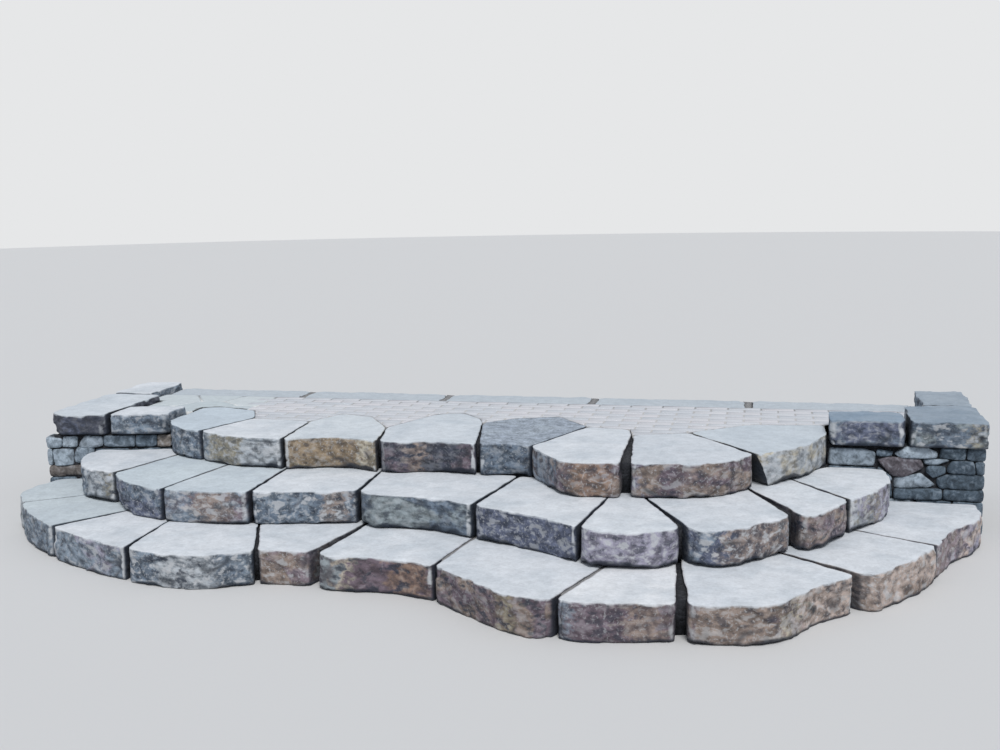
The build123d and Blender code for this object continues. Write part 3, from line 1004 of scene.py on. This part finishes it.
def split_field_stone(name, look, low_x, high_x, top):
    """Field stone with a split face and a natural cleft top. The face is mottled in patches of 30 to 130 mm
    that lie along its bedding, with pale swirls and veins, dark smudges, crevices darkened partly by grime and
    partly as painted shade, specks, and pale chips on its edges that are partly painted highlight; the top is
    paler, smoother and cloudy, and its colour runs a little way down the face below the rim, partly as painted
    highlight. By a neighbour the face is darkened as painted shade, and at the foot by grime and painted shade."""
    material, tree, place = new_material(name)
    bedding = add(tree, "ShaderNodeMapping", {"Vector": place, "Scale": (1.0, 1.0, 1.6)})
    hollow, layer, arris, air, lying = (
        add(tree, "ShaderNodeAttribute", out="Fac", attribute_name=key)
        for key in ("hollow", "layer", "arris", "air", "top")
    )
    patches, mottle, swirls, grit, clouds, veins = (
        add(tree, "ShaderNodeTexNoise", dict(zip(noise_numbers, numbers)))
        for numbers in (
            (bedding, per_metre(120), 3.0, 0.50, 0.25),
            (bedding, per_metre(46), 4.0, 0.52, 0.1),
            (bedding, per_metre(50), 3.0, 0.52, 0.2),
            (place, per_metre(12), 3.0, 0.6, 0.0),
            (place, per_metre(230), 4.0, 0.55, 0.5),
            (place, per_metre(150), 1.5, 0.5, 0.8),
        )
    )
    fine = add(tree, "ShaderNodeMath", {0: mottle, 1: grit})
    off_vein = add(tree, "ShaderNodeMath", {0: veins, 1: 0.5}, operation="SUBTRACT")
    off_vein = add(tree, "ShaderNodeMath", {0: off_vein}, operation="ABSOLUTE")
    ranges = {
        "wander": (swirls, 0.3, 0.7, -0.07, 0.07),
        "patchy": (mottle, 0.34, 0.56, 0.45, 0.9),
        "shade": (mottle, 0.36, 0.64, 0.55, 1.38),
        "smudge": (swirls, 0.46, 0.35, 0.0, look.dark),
        "swirl": (swirls, 0.54, 0.62, 0.0, look.pale),
        "vein": (off_vein, 0.030, 0.004, 0.0, look.veins),
        "broken": (mottle, 0.48, 0.58, 0.0, 0.8),
        "speck": (grit, 0.55, 0.68, 0.0, look.specks),
        # Crevices darkened, partly by grime and partly as painted shade in the hollows.
        "dirt_and_shade": (hollow, 0.2, 0.9, 0.0, 0.65),
        "chipped": (mottle, 0.33, 0.50, 0.0, 1.0),
        "cloud": (clouds, 0.40, 0.75, 0.0, 0.6),
        "speckle": (fine, 0.7, 1.3, 1 - 0.14 * look.cleft, 1 + 0.08 * look.cleft),
        # Painted shade where a neighbour stands close (low air), with grime at the foot as well.
        "shade_and_grime": (air, 0.12, 0.80, 0.90, 0.0),
        "strength": (lying, 0.0, 1.0, 0.8, 0.25),
    }
    much = {key: add(tree, "ShaderNodeMapRange", dict(enumerate(row))) for key, row in ranges.items()}

    patch = {0: patches, 1: 0.39, 2: 0.61}
    patch = add(tree, "ShaderNodeMapRange", patch, interpolation_type="SMOOTHSTEP")
    patch = add(tree, "ShaderNodeMath", {0: patch, 1: layer}, operation="MAXIMUM")
    layers = [(patch, linear(look.second), "MIX")]
    x = add(tree, "ShaderNodeSeparateXYZ", {0: place})
    x = add(tree, "ShaderNodeMath", {0: x, 1: much["wander"]})
    for code, start, end in look.zones:
        middle = low_x + (start + end) / 2 * (high_x - low_x)
        reach = (end - start) / 2 * (high_x - low_x)
        off = add(tree, "ShaderNodeMath", {0: x, 1: middle}, operation="SUBTRACT")
        off = add(tree, "ShaderNodeMath", {0: off}, operation="ABSOLUTE")
        here = add(tree, "ShaderNodeMapRange", {0: off, 1: reach + 0.03, 2: reach - 0.02})
        here = add(tree, "ShaderNodeMath", {0: here, 1: much["patchy"]}, operation="MULTIPLY")
        layers.append((here, linear(code), "MIX"))

    vein = add(tree, "ShaderNodeMath", {0: much["vein"], 1: much["broken"]}, operation="MULTIPLY")
    pale = add(tree, "ShaderNodeMath", {0: vein, 1: much["swirl"]}, operation="MAXIMUM")
    pale = add(tree, "ShaderNodeMath", {0: pale, 1: much["speck"]}, operation="MAXIMUM")
    # Pale chips on the edges, partly worn stone and partly painted highlight.
    chips = add(tree, "ShaderNodeMath", {0: much["chipped"], 1: arris}, operation="MULTIPLY")
    chips = add(tree, "ShaderNodeMapRange", {0: chips, 1: 0.15, 2: 0.8, 3: 0.0, 4: 0.85})
    cleft = {0: much["cloud"], 6: linear(top), 7: linear("#b3bdc6")}
    cleft = add(tree, "ShaderNodeMix", cleft, 2, data_type="RGBA")
    cleft = {0: 1.0, 6: cleft, 7: much["speckle"]}
    cleft = add(tree, "ShaderNodeMix", cleft, 2, data_type="RGBA", blend_type="MULTIPLY")
    layers += [
        (1.0, much["shade"], "MULTIPLY"),
        (much["smudge"], linear("#353b47"), "MIX"),
        (pale, linear("#c3c5c8"), "MIX"),
        (much["dirt_and_shade"], linear("#30343c"), "MIX"),
        (chips, linear("#c8cbce"), "MIX"),
        (lying, cleft, "MIX"),
        # Painted shade by neighbours, with grime at the foot.
        (much["shade_and_grime"], linear("#252c38"), "MIX"),
    ]
    relief = add(tree, "ShaderNodeBump", {"Height": fine, "Strength": much["strength"], "Distance": 0.004})
    return surface(material, linear(look.base), layers, relief, roughness=0.84, specular=0.35)


def packed_stone(name, dark, pale, size):
    """Crushed stone and stone dust, packed by hand, with angular bits of about so many millimetres."""
    material, tree, place = new_material(name)
    bits = add(tree, "ShaderNodeTexVoronoi", {"Vector": place, "Scale": per_metre(size)}).node
    tone = add(tree, "ShaderNodeSeparateColor", {0: bits.outputs["Color"]})
    relief = {"Height": bits.outputs["Distance"], "Strength": 0.9, "Distance": 0.006}
    relief = add(tree, "ShaderNodeBump", relief, invert=True)
    return surface(material, linear(dark), [(tone, linear(pale), "MIX")], relief, roughness=0.95)


def tinted_by_stone(name, tones, spread, bump_depth, grain, fleck=0.0):
    """Stones that differ: each keeps a number of its own, which picks its colour between the tones. They are
    mottled in grains of the given size, with white flecks, and darkened by painted shade where they run back into a
    joint."""
    material, tree, place = new_material(name)
    tone, air = (add(tree, "ShaderNodeAttribute", out="Fac", attribute_name=key) for key in ("tone", "air"))
    mottle, flecks = (
        add(tree, "ShaderNodeTexNoise", dict(zip(noise_numbers, (place, *numbers))))
        for numbers in ((per_metre(grain), 6.0, 0.7, 0.5), (per_metre(34), 4.0, 0.60, 0.3))
    )
    last = len(tones) - 1
    layers = []
    for k, code in enumerate(tones[1:]):
        share = add(tree, "ShaderNodeMapRange", {0: tone, 1: k / last, 2: (k + 1) / last})
        layers.append((share, linear(code), "MIX"))
    shade = add(tree, "ShaderNodeMapRange", {0: mottle, 1: 0.37, 2: 0.63, 3: 1 - spread, 4: 1 + spread})
    white = add(tree, "ShaderNodeMapRange", {0: flecks, 1: 0.53, 2: 0.68, 3: 0.0, 4: fleck})
    # Painted shade by the air number, in the joints.
    painted_joint_shade = add(tree, "ShaderNodeMapRange", {0: air, 1: 0.0, 2: 1.0, 3: 0.25, 4: 1.0})
    layers += [(1.0, shade, "MULTIPLY"), (white, linear("#a9b1b9"), "MIX"), (1.0, painted_joint_shade, "MULTIPLY")]
    relief = add(tree, "ShaderNodeBump", {"Height": mottle, "Strength": 0.8, "Distance": bump_depth})
    return surface(material, linear(tones[0]), layers, relief, roughness=0.88, specular=0.3)


def jointing_sand():
    """Brushed sand between the small pavers, and pale mortar between the flagstones at the left."""
    material, tree, place = new_material("jointing_sand")
    x = add(tree, "ShaderNodeSeparateXYZ", {0: place})
    mortar = add(tree, "ShaderNodeMath", {0: x, 1: flag_limit}, operation="LESS_THAN")
    grains = dict(zip(noise_numbers, (place, per_metre(4), 3.0, 0.7, 0.0)))
    grains = add(tree, "ShaderNodeTexNoise", grains)
    shade = add(tree, "ShaderNodeMapRange", {0: grains, 1: 0.3, 2: 0.7, 3: 0.85, 4: 1.1})
    layers = [(mortar, linear("#e2e4e4"), "MIX"), (1.0, shade, "MULTIPLY")]
    relief = add(tree, "ShaderNodeBump", {"Height": grains, "Strength": 0.6, "Distance": 0.001})
    return surface(material, linear("#c0bfbe"), layers, relief, roughness=0.95)


def plain_floor():
    """A plain pale studio floor."""
    material, tree, _ = new_material("painted_studio_floor")
    shader = tree.nodes["Principled BSDF"]
    shader.inputs["Base Color"].default_value = linear("#d6d6d6")
    shader.inputs["Roughness"].default_value = 0.9
    return material


# Stones of the three courses and the caps, by the look of their faces: main colour, second colour, zones of
# other colours along the stone (from, to, as shares of its length), and how strong its pale swirls, dark
# smudges, veins and specks are and the speckle of its top
Look = namedtuple("Look", "base second zones pale dark veins specks cleft", defaults=((), 0.5, 0.6, 0.2, 0.5, 1.0))
blue_grey = "#7f8b98"
pale_grey = "#a6abb0"
dark_blue = "#65717f"
indigo = "#5f6578"
lavender = "#9390a0"
purple_brown = "#80747c"
warm_brown = "#8a7c74"
rust = "#8a7466"
olive = "#8b8370"
tan = "#b0a999"
green_grey = "#889195"
sandy_brown = "#b2a39b"
ochre = "#8e7e6a"
plum = "#6b5f68"
slate = "#484b56"

step_faces = {
    "bottom_stone_1": Look(green_grey, pale_grey, pale=0.5),
    "bottom_stone_2": Look(dark_blue, blue_grey, pale=0.4),
    "bottom_stone_3": Look(lavender, blue_grey, pale=0.6),
    "bottom_stone_4": Look(blue_grey, dark_blue, [(pale_grey, 0.3, 0.75)], pale=0.8, dark=0.8, veins=0.6),
    "bottom_stone_5": Look(purple_brown, warm_brown, [(pale_grey, 0.86, 0.96)], pale=0.6, dark=0.5),
    "bottom_stone_6": Look(
        plum, plum, [(green_grey, 0.0, 0.17), (tan, 0.20, 0.24), (rust, 0.55, 0.80)], pale=0.0, dark=0.8, specks=0.1
    ),
    "bottom_stone_7": Look(warm_brown, plum, [(olive, 0.48, 0.56)], pale=0.3, dark=0.8, specks=0.3),
    "bottom_stone_8": Look(plum, plum, [(blue_grey, 0.0, 0.10), (warm_brown, 0.6, 0.9)], pale=0.2, specks=0.4),
    "bottom_stone_9": Look(plum, warm_brown, [(tan, 0.62, 0.68), (sandy_brown, 0.72, 1.0)], pale=0.4, veins=0.7),
    "bottom_stone_10": Look(warm_brown, sandy_brown, [(indigo, 0.0, 0.06)], pale=0.6, dark=0.5),
    "bottom_stone_11": Look(lavender, sandy_brown, [(purple_brown, 0.6, 0.8)], pale=0.5),
    "middle_stone_1": Look(dark_blue, blue_grey, [(pale_grey, 0.35, 0.6), (olive, 0.62, 0.72)], pale=0.6),
    "middle_stone_2": Look(dark_blue, indigo, pale=0.5, dark=0.85, veins=0.5),
    "middle_stone_3": Look(purple_brown, blue_grey, [(blue_grey, 0.0, 0.3), (warm_brown, 0.4, 0.8)], pale=0.6, veins=0.7),
    "middle_stone_4": Look(blue_grey, dark_blue, [(warm_brown, 0.7, 0.88)], pale=0.8, dark=0.8, veins=0.6),
    "middle_stone_5": Look(dark_blue, green_grey, pale=0.2, dark=0.7, specks=0.2),
    "middle_stone_6": Look(indigo, indigo, pale=0.5, dark=0.7, specks=0.5),
    "middle_stone_7": Look(lavender, lavender, pale=0.75, dark=0.7),
    "middle_stone_8": Look(blue_grey, indigo, [(warm_brown, 0.60, 1.0)], pale=0.7, veins=0.5),
    "middle_stone_9": Look(warm_brown, purple_brown, pale=0.2, dark=0.85),
    "middle_stone_10": Look(pale_grey, lavender, [(tan, 0.40, 0.55), (olive, 0.75, 0.82)], pale=0.7, dark=0.3),
    "top_stone_1": Look(blue_grey, dark_blue, pale=0.65),
    "top_stone_2": Look(blue_grey, pale_grey, [(olive, 0.15, 0.5)], pale=0.7, dark=0.5),
    "top_stone_3": Look(olive, ochre, [(tan, 0.80, 0.95)], pale=0.3, dark=0.5),
    "top_stone_4": Look(
        plum, slate, [(slate, 0.0, 0.15), (warm_brown, 0.40, 0.52)], pale=0.15, dark=0.8, specks=0.2
    ),
    "top_stone_5": Look(dark_blue, dark_blue, pale=0.3, dark=0.9, cleft=4.0),
    "top_stone_6": Look(warm_brown, plum, [(blue_grey, 0.0, 0.3), (rust, 0.5, 0.9)], pale=0.3, veins=0.6),
    "top_stone_7": Look(plum, warm_brown, [(lavender, 0.0, 0.12)], pale=0.4, veins=0.4, specks=0.5),
    "top_stone_8": Look(pale_grey, tan, pale=0.7, dark=0.25),
}
cap_faces = {
    "left_cap_1": Look(slate, slate, [(indigo, 0.4, 0.6)], pale=0.1, dark=0.6, veins=0.1, specks=0.1),
    "left_cap_2": Look(dark_blue, blue_grey, pale=0.5, dark=0.8),
    "left_cap_3": Look(blue_grey, dark_blue),
    "right_cap_1": Look(dark_blue, indigo, pale=0.4, dark=0.7, veins=0.4, specks=0.2),
    "right_cap_2": Look(green_grey, dark_blue, [(olive, 0.78, 0.85)], pale=0.6, dark=0.7, specks=0.2),
    "right_cap_3": Look(blue_grey, dark_blue),
    "back_caps": Look(blue_grey, warm_brown),
}
tops = {
    "bottom_stone_1": "#c9d2d7",
    "bottom_stone_2": "#cad3d8",
    "bottom_stone_8": "#e9ebee",
    "middle_stone_2": "#ccd6dc",
    "middle_stone_3": "#cfd8de",
    "top_stone_1": "#c8d3dc",
    "top_stone_3": "#d6dce1",
    "top_stone_4": "#d4dae0",
    "top_stone_5": "#9fa9b6",
    "top_stone_7": "#d4d9df",
    "top_stone_8": "#cdd5dc",
    "left_cap_1": "#d4dae0",
    # The right caps' tops are darker and bluer than the rest, as painted shade, since that wall lies in shade.
    "right_cap_1": "#8496a8",
    "right_cap_2": "#8c9aa8",
    "right_cap_3": "#929eaa",
    "back_caps": "#c0c8cf",
}
usual_top = "#dee2e7"

# Corners that are broken off: a point of the break and the way out of it
broken_corners = {"top_stone_8": [((1.552, -0.845, 0.482), (-0.66, -0.58, -0.36))]}


def finish_of(node):
    """How a slab or cap is broken."""
    if node.startswith("right_cap"):
        return rugged_cap_finish
    if node.startswith("left_cap"):
        return cap_finish
    if node.startswith("bottom"):
        return ground_finish
    return back_cap_finish if node == "back_caps" else step_finish


def make_stones():
    """Every slab and cap, split and weathered."""
    for number, (node, look) in enumerate({**step_faces, **cap_faces}.items()):
        low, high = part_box(node)
        top = tops.get(node, usual_top)
        material = split_field_stone("split_field_stone_" + node, look, low[0], high[0], top)
        mesh = split_stone(node, number + 1, finish_of(node), broken_corners.get(node, ()))
        slot = "cap_stone" if node in cap_faces else "step_stone"
        piece(node + "_stone", mesh, material, slot, node)


def make_stage():
    """A plain pale floor, a soft sun and an even sky."""
    floor = bmesh.new()
    bmesh.ops.create_circle(floor, cap_ends=True, segments=96, radius=40)
    mesh = bpy.data.meshes.new("floor")
    floor.to_mesh(mesh)
    floor.free()
    thing = bpy.data.objects.new("floor", mesh)
    thing.location.z = -0.0005
    mesh.materials.append(plain_floor())
    bpy.context.scene.collection.objects.link(thing)

    world = bpy.data.worlds.new("even_sky")
    bpy.context.scene.world = world
    world.use_nodes = True
    tree = world.node_tree
    tree.nodes.clear()
    path = add(tree, "ShaderNodeLightPath").node
    seen = add(tree, "ShaderNodeMath", {0: path.outputs["Is Camera Ray"], 1: path.outputs["Is Glossy Ray"]})
    seen = add(tree, "ShaderNodeMath", {0: seen, 1: path.outputs["Is Transmission Ray"]}, use_clamp=True)
    light = add(tree, "ShaderNodeBackground", {"Color": linear("#e9f1fc"), "Strength": 0.44})
    backdrop = add(tree, "ShaderNodeBackground", {"Color": linear("#e6e7e8"), "Strength": 1.0})
    both = add(tree, "ShaderNodeMixShader", {0: seen, 1: light, 2: backdrop})
    tree.links.new(both, tree.nodes.new("ShaderNodeOutputWorld").inputs["Surface"])

    sun = bpy.data.lights.new("soft_sun", "SUN")
    sun.energy = 2.1
    sun.angle = math.radians(22)
    sun.color = (1.0, 0.99, 0.98)
    lamp = bpy.data.objects.new("soft_sun", sun)
    lamp.rotation_euler = (math.radians(32), math.radians(14), 0)
    bpy.context.scene.collection.objects.link(lamp)


def make_camera():
    """The photograph's place, heading and lens."""
    data = bpy.data.cameras.new("camera")
    data.lens = camera_lens
    data.sensor_width = 36
    data.clip_end = 200
    camera = bpy.data.objects.new("camera", data)
    bpy.context.scene.collection.objects.link(camera)
    camera.matrix_world = (
        Matrix.Translation(camera_place)
        @ Matrix.Rotation(camera_yaw, 4, "Z")
        @ Matrix.Rotation(math.pi / 2 - camera_pitch, 4, "X")
        @ Matrix.Rotation(camera_roll, 4, "Z")
    )
    bpy.context.scene.camera = camera
    bpy.context.scene.view_settings.view_transform = "Standard"


make_camera()
make_stage()
make_stones()

# Near black, partly as painted shade: it fills the deep joints, the walls' cores and the fills, where shade falls.
crushed = packed_stone("packed_crushed_stone", "#14171d", "#32343a", 14)
dust = packed_stone("packed_stone_dust", "#85868a", "#a6a4a2", 5)
make_all_joints(crushed, dust)
rubble = tinted_by_stone(
    "split_field_stone_small",
    ["#414d5a", "#515e6a", "#64727f", "#a0acb7", "#676268", "#867f74"],
    spread=0.50,
    bump_depth=0.006,
    grain=34,
    fleck=0.35,
)
make_walls(rubble, crushed)
make_landing(
    tinted_by_stone("tumbled_pavers", ["#cdd0d5", "#d3d2d6", "#c8ccd2", "#d6d6da"], 0.05, 0.0012, 12),
    tinted_by_stone("bluish_flagstones", ["#c4cdd2", "#ccd3d6", "#bcc7cc"], 0.06, 0.0020, 45),
    jointing_sand(),
)
for node in nodes:
    if node.endswith("fill"):
        nodes[node].material_slots[0].material = crushed
